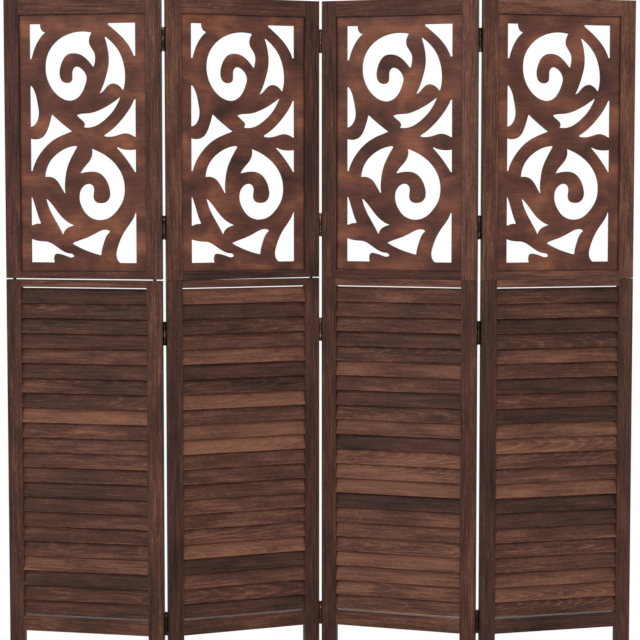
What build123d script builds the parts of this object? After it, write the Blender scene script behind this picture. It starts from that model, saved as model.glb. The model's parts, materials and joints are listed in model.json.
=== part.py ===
from build123d import *

import os
from math import cos, radians, sin, tan

# Folding screen of four wooden panels. Each panel has a frame with a fretted scroll board above, and
# a frame with fixed louvre slats and two legs below. Two round pins join the sections of a panel, and
# four butt hinges join each pair of neighbouring panels. It stands folded in a shallow zigzag.
# A panel's own frame has x across it from its left edge, y from its front face to its back, and z up
# from the floor. Lengths are in millimetres and angles in degrees.

# Panel frames
panel_count = 4
panel_width = 400
panel_thickness = 18
stile_width = 38
arris_radius = 0.8

# Heights of the lower section, from the floor up
leg_length = 130
foot_rail_height = 37.6
louvre_opening_height = 824.6
lower_head_rail_height = 18.2

# Heights of the upper section, from the seam up, and how far it stands off the lower section at its
# left and right stile in each panel
upper_foot_rail_height = 20.7
board_opening_height = 629.2
upper_head_rail_height = 39.7
seam_gaps = ((3.1, 3.1), (0.4, 2.6), (0.4, 0.4), (0.4, 1.0))

# Joints in the wood
tenon_thickness = 6
tenon_length = 12
tenon_shoulder = 2.5
joint_clearance = 0.1

# Scroll board
board_thickness = 5
board_recess = 6.5
board_groove_depth = 6
board_edge_play = 0.5
window_side_margin = 26.7
window_top_margin = 23.2
window_bottom_margin = 22.1

# Louvre slats, spread evenly in the lower frame at about this pitch
slat_pitch = 37.2
slat_width = 38.5
slat_thickness = 5
slat_edge_radius = 1.2
slat_tilt = 16
slat_housing_depth = 5
slat_end_play = 0.2
slat_head_gap = 2.7
slat_foot_gap = 2.9

# Pins between the sections
section_pin_diameter = 8
section_pin_length = 50
section_pin_socket_depth = 25
section_pin_chamfer = 0.6

# Butt hinges: the gap is between the stiles of two panels in line, and the axis stands off their faces
hinge_gap = 4.2
hinge_axis_offset = 2.2
hinge_length = 58
knuckle_count = 5
knuckle_diameter = 5.4
knuckle_end_gap = 0.2
knuckle_side_gap = 0.3
leaf_thickness = 1.5
leaf_width = 15
leaf_corner_radius = 2
hinge_pin_diameter = 2.4
hinge_pin_clearance = 0.05
hinge_pin_head_diameter = 4
hinge_pin_head_height = 0.8

# Where the middles of a fold's four hinges are: above the floor, below and above the seam between the
# sections, and below the panel's top
outer_hinge_distances = (160, 129.9, 129.6, 103)
middle_hinge_distances = (159, 129.4, 133.6, 99)

# Wood screws of the hinges
screws_per_leaf = 3
screw_length = 16
screw_point_length = 4
screw_shank_diameter = 3
screw_head_diameter = 5.6
countersink_angle = 90
screw_slot_length = 3.2
screw_slot_width = 0.7
screw_slot_depth = 0.8
screw_spacing = 20
screw_edge_distance = 8
screw_clearance = 0.05

# Fold of the screen: the first panel's heading, and how far each next panel turns. A positive turn
# folds two panels back to back, with the hinges behind, and a negative one front to front.
first_heading = -12.2
fold_angles = (34.7, -41.4, 34.4)

# Scroll pattern, drawn from the lower left corner of its window and stretched to fill it. An opening
# has its start point and its strokes, which follow on: one point is a straight line, and more are a
# smooth curve through them. A line closes an opening that doesn't end at its start.
left, right = 0, 270.6
bottom, top = 0, 583.9
scroll_openings = {
    "top left corner": [
        (left, 499.5),
        [(left, top)],
        [(27.5, top)],
        [(28.5, 575), (31, 569.5), (40.5, 563.5)],
        [(24.6, 546.6), (12, 522.5), (4.8, 499.5)],
    ],
    "upper spiral": [
        (159.5, 561.5),
        [
            (135, 564.5), (107, 561), (80, 549.7), (56.5, 529), (43, 503), (39.8, 478), (43.5, 452),
            (53, 430.7), (67, 413.3), (85, 401), (104.5, 397), (122, 403), (135.5, 418.5), (143.5, 437),
            (146.3, 451), (140.5, 466.6), (129, 476.8), (120, 479.4), (113, 476.3), (109, 468),
            (108.5, 454), (106.5, 445), (101, 440.8), (92.5, 440), (83.5, 444.5), (78, 455), (77, 468),
            (80.5, 484), (88, 499.5), (97.5, 508.8), (113, 512.2), (131, 508.2), (147.5, 496),
            (161.7, 479.3),
        ],
        [(164.8, 479.3)],
        [(168, 493), (167.3, 510), (159, 524.5), (153.7, 535), (153.2, 545), (155.5, 553.5), (159.5, 561.5)],
    ],
    "top right corner": [
        (200.5, top),
        [(right, top)],
        [(right, 504.3)],
        [(265.8, 504.3)],
        [(254.6, 527.3), (236.2, 550.3), (217, 567.5), (201.5, 580)],
    ],
    "upper crescent": [
        (192, 550.5),
        [(195.5, 550.5)],
        [(214, 534.6), (232.5, 509), (242, 480), (244.6, 452), (240, 422.5)],
        [(236.5, 422.5)],
        [(228, 432), (213.2, 437.6), (199, 431), (184.7, 416.5), (178.2, 414)],
        [(185.5, 429), (194.8, 455.5), (201.5, 484), (202, 505), (198.3, 529), (192, 550.5)],
    ],
    "left sliver": [
        (left, 334),
        [(left, 433)],
        [(4.5, 433)],
        [(12.6, 418), (19, 392), (22.4, 366.5), (18.5, 348.5), (9.9, 337), (3.5, 333.8)],
    ],
    "middle leaf": [
        (232.5, 405.8),
        [(208.5, 389.3), (181, 374.7), (153, 366), (125.8, 363.4), (120, 361.5)],
        [(133, 349.2), (139.3, 341), (137, 332)],
        [(153.4, 331.2), (173, 337), (192, 349.8), (210, 367), (225, 389), (232.5, 405.8)],
    ],
    "right triangle": [
        (right, 308),
        [(right, 398.8)],
        [(266.3, 398.8)],
        [(257.4, 381), (238, 354.4), (216, 331.5), (190, 312.8)],
        [(189.5, 310)],
        [(204.9, 308.3), (222, 311.2), (243.5, 316.5), (258, 313), (267, 308)],
    ],
    "left blade": [
        (left, 225),
        [(left, 305)],
        [(17.2, 302.8), (30.5, 308), (43, 326), (50.7, 348), (54.7, 362.6)],
        [(57.8, 362.2)],
        [(81.6, 341.6), (107.5, 322)],
        [(89, 315), (62, 302.3), (41, 286), (22.8, 264.6), (10.5, 243), (4.5, 225)],
    ],
    "right wedge": [
        (right, 222.2),
        [(right, 277)],
        [(251, 275.7), (234, 278.8), (224, 283.2)],
        [(221.6, 281.6)],
        [(236.2, 265.6), (254.6, 241.6), (267.3, 222.2)],
    ],
    "lower left leaf": [
        (36.2, 210),
        [(40.2, 230.6), (49, 248), (66.9, 266.5), (92.7, 281.2), (118, 286.2)],
        [(120.6, 284)],
        [(106.5, 260), (94.5, 232.4), (89, 203), (88, 185), (89.3, 171)],
        [(86, 171)],
        [(75.5, 189), (61, 206), (47, 210.8), (36.2, 210)],
    ],
    "lower spiral": [
        (157.3, 279.5),
        [
            (181, 269.6), (206.8, 252.7), (228, 228.8), (239, 203.5), (241.8, 180), (236.5, 151.5),
            (222, 128.5), (202, 111), (175, 104.9), (149.7, 113), (133.2, 131.6), (125.2, 152),
            (125.3, 170), (133, 185.5), (147.9, 193.2), (159, 189.8), (163.3, 179), (161.8, 162),
            (166.5, 150.5), (179, 146), (193.5, 149.3), (202, 160.5), (202, 181), (191, 206.7),
            (175, 220.2), (156.5, 223.5), (138, 221.3), (127.8, 219),
        ],
        [(137.8, 234.3), (151, 249.3), (157.6, 264), (157.3, 279.5)],
    ],
    "left wedge": [
        (left, 91.5),
        [(left, 160)],
        [(3.2, 160)],
        [(8.5, 145), (17.2, 116.9), (25, 97.5)],
        [(23.7, 95.2)],
        [(12, 94.6), (5, 91.6)],
    ],
    "lower barb": [
        (39.2, 155.5),
        [(41.5, 156)],
        [(59.6, 136.2), (81, 110.5), (98, 97.5), (111.3, 91.8)],
        [(97.3, 86.8), (90.3, 82), (83.2, 69.8)],
        [(80.5, 69.8)],
        [(61.4, 104), (46.7, 131.6), (39.2, 155.5)],
    ],
    "bottom left corner": [
        (left, bottom),
        [(left, 58)],
        [
            (11.7, 54), (27, 51.8), (43, 50.4), (61, 41.5), (80, 28.9), (98, 22.3), (109, 18.8),
            (110.3, 15.5), (107, 13.1), (92.7, 14.8), (72, 21), (62.5, 20.5), (58.7, 13), (58.8, 5),
            (60, bottom),
        ],
    ],
    "bottom leaf": [
        (105.3, 47),
        [(111.1, 49.9), (136.8, 58.9), (162.6, 70.5), (180, 79), (190, 81), (201.5, 78.8)],
        [(203.3, 75.8)],
        [(194.8, 67), (188, 51), (183.5, 37), (180.6, 19.2)],
        [(176, 19.2)],
        [(150, 26.5), (125, 36.5), (105.3, 47)],
    ],
    "bottom right corner": [
        (228.5, bottom),
        [(right, bottom)],
        [(right, 121.8)],
        [(267.3, 121.8)],
        [(259, 104), (243.5, 82.8), (230.5, 61), (221.5, 37), (218.3, 20), (221.5, 7), (228.5, bottom)],
    ],
}

# Heights and places that follow from the sizes above
opening_width = panel_width - 2 * stile_width
foot_rail_top = leg_length + foot_rail_height
louvre_top = foot_rail_top + louvre_opening_height
seam_height = louvre_top + lower_head_rail_height
board_opening_bottom = seam_height + upper_foot_rail_height
board_opening_top = board_opening_bottom + board_opening_height
panel_height = board_opening_top + upper_head_rail_height
board_opening_middle = (board_opening_bottom + board_opening_top) / 2
board_entry = board_groove_depth - board_edge_play
board_middle_depth = board_recess + board_thickness / 2
groove_width = board_thickness + 2 * joint_clearance
mid_depth = panel_thickness / 2
slat_reach = (
    (slat_width / 2 - slat_edge_radius) * cos(radians(slat_tilt))
    + (slat_thickness / 2 - slat_edge_radius) * sin(radians(slat_tilt))
    + slat_edge_radius
)
first_slat_height = louvre_top - slat_head_gap - slat_reach
last_slat_height = foot_rail_top + slat_foot_gap + slat_reach
slat_count = 1 + round((first_slat_height - last_slat_height) / slat_pitch)
slat_spacing = (first_slat_height - last_slat_height) / (slat_count - 1)
knuckle_pitch = (hinge_length + knuckle_end_gap) / knuckle_count
knuckle_length = knuckle_pitch - knuckle_end_gap
leaf_face = leaf_thickness - hinge_gap / 2
screw_head_height = (screw_head_diameter - screw_shank_diameter) / 2 / tan(radians(countersink_angle / 2))

# The lowest and highest point of each rail's tenons
foot_rail_tenon = (leg_length + tenon_shoulder, foot_rail_top - tenon_shoulder)
lower_head_rail_tenon = (louvre_top + tenon_shoulder, seam_height - tenon_shoulder)
upper_head_rail_tenon = (
    board_opening_top + board_groove_depth + tenon_shoulder,
    panel_height - tenon_shoulder,
)
highest_seam_gap = max(max(gaps) for gaps in seam_gaps)
upper_foot_rail_tenon = (
    seam_height + highest_seam_gap + tenon_shoulder,
    board_opening_bottom - board_groove_depth - tenon_shoulder,
)

# Planes in a panel's own frame, with x along the sketch's x or y, and z up
front_face = Plane.XZ
left_inner_edge = Plane.YZ.offset(stile_width)
right_inner_edge = Plane.YZ.offset(panel_width - stile_width)
panel_middle = Plane.YZ.offset(panel_width / 2)

# The row of screws on the face of a left leaf, in front of two panels in line: x goes back from the axis,
# and z out of the leaf
screw_row = Plane((leaf_face, hinge_axis_offset + screw_edge_distance, 0), x_dir=(0, 1, 0), z_dir=(1, 0, 0))


def cut_mortises(tenons):
    """Cut a mortise for each tenon into the inner edge of the left stile that is being made."""
    with BuildSketch(left_inner_edge) as mortises:
        for low, high in tenons:
            with Locations((mid_depth, (low + high) / 2)):
                Rectangle(tenon_thickness + 2 * joint_clearance, high - low + 2 * joint_clearance)
    extrude(mortises.sketch, amount=-(tenon_length + joint_clearance), mode=Mode.SUBTRACT)


def drill_for_hinges(stile, hinges):
    """Drill the outer edge of a left stile for the screws of its hinges."""
    with BuildPart() as drilled_stile:
        add(stile)
        for depth, height in hinges:
            with Locations(Plane((0, depth, height), x_dir=(0, 1, 0), z_dir=(-1, 0, 0))):
                with GridLocations(0, screw_spacing, 1, screws_per_leaf):
                    Hole(screw_shank_diameter / 2 + screw_clearance, screw_length + screw_clearance)
    return drilled_stile.part


def draw_slat_ends(clearance):
    """Draw the tilted section of every slat, with a clearance all round, on an upright plane."""
    with Locations([(mid_depth, last_slat_height + number * slat_spacing) for number in range(slat_count)]):
        RectangleRounded(
            slat_thickness + 2 * clearance,
            slat_width + 2 * clearance,
            slat_edge_radius + clearance,
            rotation=-slat_tilt,
        )


def make_upper_stile(seam_gap):
    """The left stile of an upper section: grooved for the board, mortised, and bored for a pin."""
    foot = seam_height + seam_gap
    with BuildPart() as stile:
        with BuildSketch(Plane.XY.offset(foot)):
            Rectangle(stile_width, panel_thickness, align=Align.MIN)
        extrude(amount=panel_height - foot)
        fillet(stile.edges(), arris_radius)
        with BuildSketch(left_inner_edge):
            with Locations((board_middle_depth, board_opening_middle)):
                Rectangle(groove_width, board_opening_height + 2 * board_groove_depth)
        extrude(amount=-board_groove_depth, mode=Mode.SUBTRACT)
        cut_mortises((upper_foot_rail_tenon, upper_head_rail_tenon))
        with BuildSketch(Plane.XY.offset(foot)):
            with Locations((stile_width / 2, mid_depth)):
                Circle(section_pin_diameter / 2 + joint_clearance)
        extrude(amount=section_pin_length - section_pin_socket_depth - seam_gap, mode=Mode.SUBTRACT)
    return stile.part


def make_lower_stile():
    """The left stile and leg of a lower section: housed for the slats, mortised, and bored for a pin."""
    with BuildPart() as stile:
        with BuildSketch(Plane.XY):
            Rectangle(stile_width, panel_thickness, align=Align.MIN)
        extrude(amount=seam_height)
        fillet(stile.edges(), arris_radius)
        with BuildSketch(left_inner_edge):
            draw_slat_ends(joint_clearance)
        extrude(amount=-slat_housing_depth, mode=Mode.SUBTRACT)
        cut_mortises((foot_rail_tenon, lower_head_rail_tenon))
        with BuildSketch(Plane.XY.offset(seam_height)):
            with Locations((stile_width / 2, mid_depth)):
                Circle(section_pin_diameter / 2 + joint_clearance)
        extrude(amount=-section_pin_socket_depth, mode=Mode.SUBTRACT)
    return stile.part


def make_rail(bottom_left, bottom_right, rail_top, tenon):
    """A rail between the stiles, with a tenon at each end. Its lower edge may slope a little."""
    low, high = tenon
    with BuildPart() as rail:
        with BuildSketch(front_face):
            Polygon(
                (stile_width, bottom_left),
                (panel_width - stile_width, bottom_right),
                (panel_width - stile_width, rail_top),
                (stile_width, rail_top),
                align=None,
            )
        extrude(amount=-panel_thickness)
        end_faces = rail.faces().sort_by(Axis.X)
        long_edges = rail.edges() - end_faces[0].edges() - end_faces[-1].edges()
        fillet(long_edges, arris_radius)
        for end, outwards in ((left_inner_edge, -1), (right_inner_edge, 1)):
            with BuildSketch(end):
                with Locations((mid_depth, (low + high) / 2)):
                    Rectangle(tenon_thickness, high - low)
            extrude(amount=outwards * tenon_length)
    return rail.part


def groove_rail(rail, edge_height, upwards):
    """Plough the board's groove into the edge of a rail at the given height."""
    with BuildPart() as grooved_rail:
        add(rail)
        with BuildSketch(Plane.XY.offset(edge_height)):
            with Locations((panel_width / 2, board_middle_depth)):
                Rectangle(opening_width, groove_width)
        extrude(amount=upwards * board_groove_depth, mode=Mode.SUBTRACT)
    return grooved_rail.part


def on_window(point):
    """The place on the board of a point of the scroll pattern."""
    across, up = point
    window_width = opening_width - 2 * window_side_margin
    window_height = board_opening_height - window_top_margin - window_bottom_margin
    return (
        stile_width + window_side_margin + across * window_width / right,
        board_opening_bottom + window_bottom_margin + up * window_height / top,
    )


def draw_opening(start, strokes):
    """Draw the closed outline of one opening of the scroll pattern."""
    place = start
    for stroke in strokes:
        points = [on_window(point) for point in (place, *stroke)]
        if len(points) == 2:
            Line(*points)
        else:
            Spline(*points)
        place = stroke[-1]
    if place != start:
        Line(on_window(place), on_window(start))


def make_scroll_board():
    """The fretted board, which sits in grooves in the upper frame."""
    with BuildPart() as board:
        with BuildSketch(front_face.offset(-board_recess)):
            with Locations((panel_width / 2, board_opening_middle)):
                Rectangle(opening_width + 2 * board_entry, board_opening_height + 2 * board_entry)
            for start, *strokes in scroll_openings.values():
                with BuildLine():
                    draw_opening(start, strokes)
                make_face(mode=Mode.SUBTRACT)
        extrude(amount=-board_thickness)
    return board.part


def make_louvre_slats():
    """All slats of a lower section, each let into the stiles at both ends."""
    slat_entry = slat_housing_depth - slat_end_play
    with BuildPart() as slats:
        with BuildSketch(Plane.YZ.offset(stile_width - slat_entry)):
            draw_slat_ends(0)
        extrude(amount=opening_width + 2 * slat_entry)
    return slats.part


def make_section_pins():
    """The two pins that stand in the lower stiles and carry the upper section."""
    with BuildPart() as pins:
        with BuildSketch(Plane.XY.offset(seam_height - section_pin_socket_depth)):
            for across in (stile_width / 2, panel_width - stile_width / 2):
                with Locations((across, mid_depth)):
                    Circle(section_pin_diameter / 2)
        extrude(amount=section_pin_length)
        chamfer(pins.edges(), section_pin_chamfer)
    return pins.part


def make_hinge_leaf(first_knuckle):
    """
    The left leaf of a hinge in front of two panels in line. Its z axis is the hinge's axis, x is across
    the gap and y goes back past the stiles. It has every second knuckle from the given one.
    """
    plate_back = hinge_axis_offset + leaf_width
    foot = -hinge_length / 2
    with BuildPart() as leaf:
        with BuildSketch(Plane.YZ.offset(-hinge_gap / 2)):
            with Locations((plate_back / 2, 0)):
                Rectangle(plate_back, hinge_length)
        extrude(amount=leaf_thickness)
        fillet(leaf.edges().filter_by(Axis.X).group_by(Axis.Y)[-1], leaf_corner_radius)
        for number in range(knuckle_count):
            low = foot + number * knuckle_pitch
            if (number - first_knuckle) % 2:
                with BuildSketch(Plane.XY.offset(low - knuckle_end_gap)):
                    Circle(knuckle_diameter / 2 + knuckle_side_gap)
                extrude(amount=knuckle_length + 2 * knuckle_end_gap, mode=Mode.SUBTRACT)
        for number in range(first_knuckle, knuckle_count, 2):
            with BuildSketch(Plane.XY.offset(foot + number * knuckle_pitch)):
                Circle(knuckle_diameter / 2)
            extrude(amount=knuckle_length)
        with BuildSketch(Plane.XY.offset(foot)):
            Circle(hinge_pin_diameter / 2 + hinge_pin_clearance)
        extrude(amount=hinge_length, mode=Mode.SUBTRACT)
        with Locations(screw_row):
            with GridLocations(0, screw_spacing, 1, screws_per_leaf):
                CounterSinkHole(
                    screw_shank_diameter / 2 + screw_clearance,
                    screw_head_diameter / 2 + screw_clearance,
                    depth=leaf_thickness,
                    counter_sink_angle=countersink_angle,
                )
    return leaf.part


def make_hinge_pin():
    """The pin of a hinge, with a low head at each end."""
    with BuildPart() as pin:
        with BuildSketch(Plane.XY.offset(-hinge_length / 2)):
            Circle(hinge_pin_diameter / 2)
        extrude(amount=hinge_length)
        for end in (Plane.XY.offset(hinge_length / 2), Plane.XY.offset(-hinge_length / 2).reverse()):
            with BuildSketch(end):
                Circle(hinge_pin_head_diameter / 2)
            extrude(amount=hinge_pin_head_height)
        chamfer(pin.edges().group_by(Axis.Z)[0] + pin.edges().group_by(Axis.Z)[-1], hinge_pin_head_height / 2)
    return pin.part


def make_screw():
    """A countersunk wood screw along z, with its head's face at the origin and a crossed recess."""
    shank_radius = screw_shank_diameter / 2
    head_radius = screw_head_diameter / 2
    with BuildPart() as screw:
        with BuildSketch(Plane.XZ):
            Polygon(
                (0, 0),
                (head_radius, 0),
                (shank_radius, -screw_head_height),
                (shank_radius, screw_point_length - screw_length),
                (0, -screw_length),
                align=None,
            )
        revolve(axis=Axis.Z)
        with BuildSketch(Plane.XY):
            Rectangle(screw_slot_length, screw_slot_width)
            Rectangle(screw_slot_width, screw_slot_length)
        extrude(amount=-screw_slot_depth, mode=Mode.SUBTRACT)
    return screw.part


def set_at_heights(piece, heights):
    """Copies of a hinge's piece at the heights of a fold's hinges."""
    with BuildPart() as pieces:
        add([piece.moved(Location((0, 0, height))) for height in heights])
    return pieces.part


def make_leaf_screws():
    """The screws of the left leaf of a hinge in front of the panels."""
    screw = make_screw()
    with BuildPart() as screws:
        with Locations(screw_row):
            with GridLocations(0, screw_spacing, 1, screws_per_leaf):
                add(screw)
    return screws.part


def write(piece, place, label):
    """Put a piece in its place on the standing screen, name it and write it."""
    placed = piece.moved(place)
    placed.label = label
    export_step(placed, f"parts/{label}.step")


def axis_depth(turn):
    """How far a fold's axis lies behind the front face of its panels."""
    return panel_thickness + hinge_axis_offset if turn > 0 else -hinge_axis_offset


def hinge_heights(fold):
    """The heights of a fold's hinges above the floor."""
    distances = outer_hinge_distances if fold_angles[fold] > 0 else middle_hinge_distances
    above_floor, below_seam, above_seam, below_top = distances
    return above_floor, seam_height - below_seam, seam_height + above_seam, panel_height - below_top


def hinges_on_edge(fold, low, high):
    """The depth and height of each hinge of a fold that lies between two heights on a stile's edge."""
    if fold not in range(panel_count - 1):
        return []
    depth = screw_edge_distance
    if fold_angles[fold] > 0:
        depth = panel_thickness - screw_edge_distance
    return [(depth, height) for height in hinge_heights(fold) if low < height < high]


# The panels' frames on the floor: each turns about the fold's axis beside the panel before it
panel_frames = [Plane((0, 0, 0), x_dir=(cos(radians(first_heading)), sin(radians(first_heading)), 0))]
fold_places = []
for turn in fold_angles:
    depth = axis_depth(turn)
    fold_place = panel_frames[-1].location * Location((panel_width + hinge_gap / 2, depth, 0))
    next_panel = fold_place * Location((0, 0, 0), (0, 0, turn)) * Location((hinge_gap / 2, -depth, 0))
    fold_places.append(fold_place)
    panel_frames.append(Plane(next_panel))

# The screen's own origin is on the floor, at the middle of the space that the panels take
corners = [
    (frame.location * Location((across, depth, 0))).position
    for frame in panel_frames
    for across in (0, panel_width)
    for depth in (0, panel_thickness)
]
middle = Vector(
    (min(corner.X for corner in corners) + max(corner.X for corner in corners)) / 2,
    (min(corner.Y for corner in corners) + max(corner.Y for corner in corners)) / 2,
)
to_middle = Location(-middle)

os.makedirs("parts", exist_ok=True)

scroll_board = make_scroll_board()
louvre_slats = make_louvre_slats()
section_pins = make_section_pins()
lower_stile = make_lower_stile()
foot_rail = make_rail(leg_length, leg_length, foot_rail_top, foot_rail_tenon)
lower_head_rail = make_rail(louvre_top, louvre_top, seam_height, lower_head_rail_tenon)
upper_head_rail = groove_rail(
    make_rail(board_opening_top, board_opening_top, panel_height, upper_head_rail_tenon), board_opening_top, 1
)

for number, frame in enumerate(panel_frames):
    place = to_middle * frame.location
    left_foot, right_foot = (seam_height + gap for gap in seam_gaps[number])
    upper_foot_rail = groove_rail(
        make_rail(left_foot, right_foot, board_opening_bottom, upper_foot_rail_tenon), board_opening_bottom, -1
    )
    pieces = {
        "upper_head_rail": upper_head_rail,
        "upper_foot_rail": upper_foot_rail,
        "scroll_board": scroll_board,
        "lower_head_rail": lower_head_rail,
        "foot_rail": foot_rail,
        "louvre_slats": louvre_slats,
        "section_pins": section_pins,
    }
    for side, fold, gap in zip(("left", "right"), (number - 1, number), seam_gaps[number]):
        upper_stile = drill_for_hinges(make_upper_stile(gap), hinges_on_edge(fold, seam_height, panel_height))
        drilled_lower_stile = drill_for_hinges(lower_stile, hinges_on_edge(fold, 0, seam_height))
        if side == "right":
            upper_stile = mirror(upper_stile, about=panel_middle)
            drilled_lower_stile = mirror(drilled_lower_stile, about=panel_middle)
        pieces[f"upper_{side}_stile"] = upper_stile
        pieces[f"lower_{side}_stile"] = drilled_lower_stile
    for piece_name, piece in pieces.items():
        write(piece, place, f"panel_{number + 1}_{piece_name}")

# Each hinge is made in front of the panels, on the fold's axis, and mirrored to lie behind them
left_leaf = make_hinge_leaf(0)
right_leaf = mirror(make_hinge_leaf(1), about=Plane.YZ)
hinge_pin = make_hinge_pin()
left_screws = make_leaf_screws()
right_screws = mirror(left_screws, about=Plane.YZ)
for number, turn in enumerate(fold_angles):
    left_place = to_middle * fold_places[number]
    right_place = left_place * Location((0, 0, 0), (0, 0, turn))
    name = f"fold_{number + 1}_{number + 2}"
    pieces = {
        "left_leaves": (left_leaf, left_place),
        "left_screws": (left_screws, left_place),
        "hinge_pins": (hinge_pin, left_place),
        "right_leaves": (right_leaf, right_place),
        "right_screws": (right_screws, right_place),
    }
    for piece_name, (piece, piece_place) in pieces.items():
        if turn > 0:
            piece = mirror(piece, about=Plane.XZ)
        write(set_at_heights(piece, hinge_heights(number)), piece_place, f"{name}_{piece_name}")
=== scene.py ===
import json
from math import atan2, cos, pi, radians, sin

import bpy
from bpy.props import FloatProperty, FloatVectorProperty, IntProperty, IntVectorProperty, PointerProperty
from mathutils import Matrix, Vector


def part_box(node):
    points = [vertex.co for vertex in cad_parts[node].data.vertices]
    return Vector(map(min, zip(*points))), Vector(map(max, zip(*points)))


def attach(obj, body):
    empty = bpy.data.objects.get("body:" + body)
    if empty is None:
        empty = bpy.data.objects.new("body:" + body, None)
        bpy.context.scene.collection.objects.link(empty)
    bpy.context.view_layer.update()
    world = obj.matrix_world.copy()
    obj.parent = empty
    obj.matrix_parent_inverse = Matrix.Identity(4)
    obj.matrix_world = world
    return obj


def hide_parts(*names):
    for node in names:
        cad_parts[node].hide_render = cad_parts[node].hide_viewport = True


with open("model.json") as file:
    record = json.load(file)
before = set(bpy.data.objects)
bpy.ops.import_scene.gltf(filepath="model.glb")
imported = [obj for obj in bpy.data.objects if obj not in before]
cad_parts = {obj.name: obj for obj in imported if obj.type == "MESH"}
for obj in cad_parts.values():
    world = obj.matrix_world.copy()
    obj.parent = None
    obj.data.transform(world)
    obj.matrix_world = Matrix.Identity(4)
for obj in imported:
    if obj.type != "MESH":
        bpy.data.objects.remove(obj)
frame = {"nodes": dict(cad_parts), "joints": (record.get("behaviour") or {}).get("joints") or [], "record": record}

bl_info = {
    "name": "Folding screen",
    "version": (1, 0, 0),
    "blender": (4, 5, 0),
    "location": "3D View > Sidebar > Folding Screen",
    "description": "Gives a wooden folding screen its louvre slats, screws, finishes and a studio",
    "category": "Object",
}

# The screen's own layout, in metres: a panel's frame has x across it, y from front to back and z up
PANELS = (1, 2, 3, 4)
FOLDS = ((1, 2), (2, 3), (3, 4))
PANEL_WIDTH = 0.4
PANEL_THICKNESS = 0.018
STILE_WIDTH = 0.038
BOARD_FRONT = 0.0065
BOARD_THICKNESS = 0.005
KNUCKLE_RADIUS = 0.0029
RAILS = ("upper_head_rail", "upper_foot_rail", "lower_head_rail", "foot_rail")
STILES = ("upper_left_stile", "upper_right_stile", "lower_left_stile", "lower_right_stile")
SEAM_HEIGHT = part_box("panel_1_lower_left_stile")[1].z
OVER_SEAM = SEAM_HEIGHT + 0.0002
PANEL_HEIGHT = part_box("panel_1_upper_left_stile")[1].z
BOARD_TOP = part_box("panel_1_upper_head_rail")[0].z
BOARD_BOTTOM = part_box("panel_1_upper_foot_rail")[1].z
SLAT_ROW_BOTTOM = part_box("panel_1_louvre_slats")[0].z
SLAT_ROW_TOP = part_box("panel_1_louvre_slats")[1].z
FEET = {mount["name"]: Vector(mount["pos_m"]) for mount in frame["record"]["mounts"]}
FOLD_AXES = {joint["name"]: Vector(joint["pos_m"]) for joint in frame["joints"]}
FREE_HEIGHT_BETWEEN_HINGES = 0.03

# Middle and spread of the members' tones on the stain's range from 0 to 1
FRAME_TONE, FRAME_TONE_SPREAD = 0.40, 0.42
SLAT_TONE, SLAT_TONE_SPREAD = 0.465, 0.50

# Where a slat's edge wear starts and is full, from the slat's middle, and how far the knuckles are rubbed; both
# lighter marks are partly wear and partly painted highlights
SLAT_EDGE_WEAR_AND_HIGHLIGHT = (0.0172, 0.0190)
KNUCKLE_WEAR_AND_GLINT = 0.3

# How much darker a board is in the corner to its frame, which is painted shade, and on its sawn edges, where the
# outer plies differ
PAINTED_CORNER_SHADE, SAWN_SHADE, OUTER_PLY_SHADE = 0.35, 0.34, -0.10

# How glossy the wood is, and how deep the relief of each finish, in metres
WOOD_GLOSS, BOARD_GLOSS = 0.15, 0.20
WOOD_RELIEF, BOARD_RELIEF, METAL_RELIEF = 0.0003, 0.0002, 0.00005

WHITE = (1.0, 1.0, 1.0, 1.0)


class ScreenSlats(bpy.types.PropertyGroup):
    """Sizes of the louvre slats, and the draw of their tones."""

    pitch: FloatProperty(
        name="Pitch", description="Height from one slat to the next, before it is evened out",
        default=0.0372, subtype="DISTANCE", unit="LENGTH",
    )
    width: FloatProperty(
        name="Width", description="Width of a slat across its face",
        default=0.0385, subtype="DISTANCE", unit="LENGTH",
    )
    thickness: FloatProperty(
        name="Thickness", description="Thickness of a slat", default=0.005, subtype="DISTANCE", unit="LENGTH",
    )
    edge_radius: FloatProperty(
        name="Edge Radius", description="Rounding of a slat's long edges",
        default=0.0012, subtype="DISTANCE", unit="LENGTH",
    )
    housing_depth: FloatProperty(
        name="Housing Depth", description="How far each end of a slat goes into its stile",
        default=0.0048, subtype="DISTANCE", unit="LENGTH",
    )
    tilt: FloatProperty(
        name="Tilt", description="How far the slats lean back from upright",
        default=radians(16), subtype="ANGLE",
    )
    bow: FloatProperty(
        name="Bow", description="How far a slat may be bent at the middle of its length",
        default=0.0003, subtype="DISTANCE", unit="LENGTH",
    )
    tone_seeds: IntVectorProperty(
        name="Tone Seeds", description="Draw of the slats' tones in each panel",
        default=(517976, 14623, 823900, 528661), size=4,
    )


class ScreenScrews(bpy.types.PropertyGroup):
    """Sizes of the hinge screws and where they stand."""

    per_leaf: IntProperty(name="Screws per Leaf", description="Number of screws in a hinge leaf", default=3)
    spacing: FloatProperty(
        name="Spacing", description="Distance between the screws of a leaf",
        default=0.020, subtype="DISTANCE", unit="LENGTH",
    )
    length: FloatProperty(
        name="Length", description="Length of a screw", default=0.016, subtype="DISTANCE", unit="LENGTH",
    )
    shank_diameter: FloatProperty(
        name="Shank Diameter", description="Diameter of the thread's crests",
        default=0.003, subtype="DISTANCE", unit="LENGTH",
    )
    head_diameter: FloatProperty(
        name="Head Diameter", description="Diameter of the countersunk head",
        default=0.0056, subtype="DISTANCE", unit="LENGTH",
    )
    axis_distance: FloatProperty(
        name="Axis Distance", description="Distance of the screws from the hinge's axis, along the leaf",
        default=0.0102, subtype="DISTANCE", unit="LENGTH",
    )
    leaf_face: FloatProperty(
        name="Leaf Face", description="Distance of a leaf's face from the middle of the closed gap",
        default=0.0006, subtype="DISTANCE", unit="LENGTH",
    )


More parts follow.
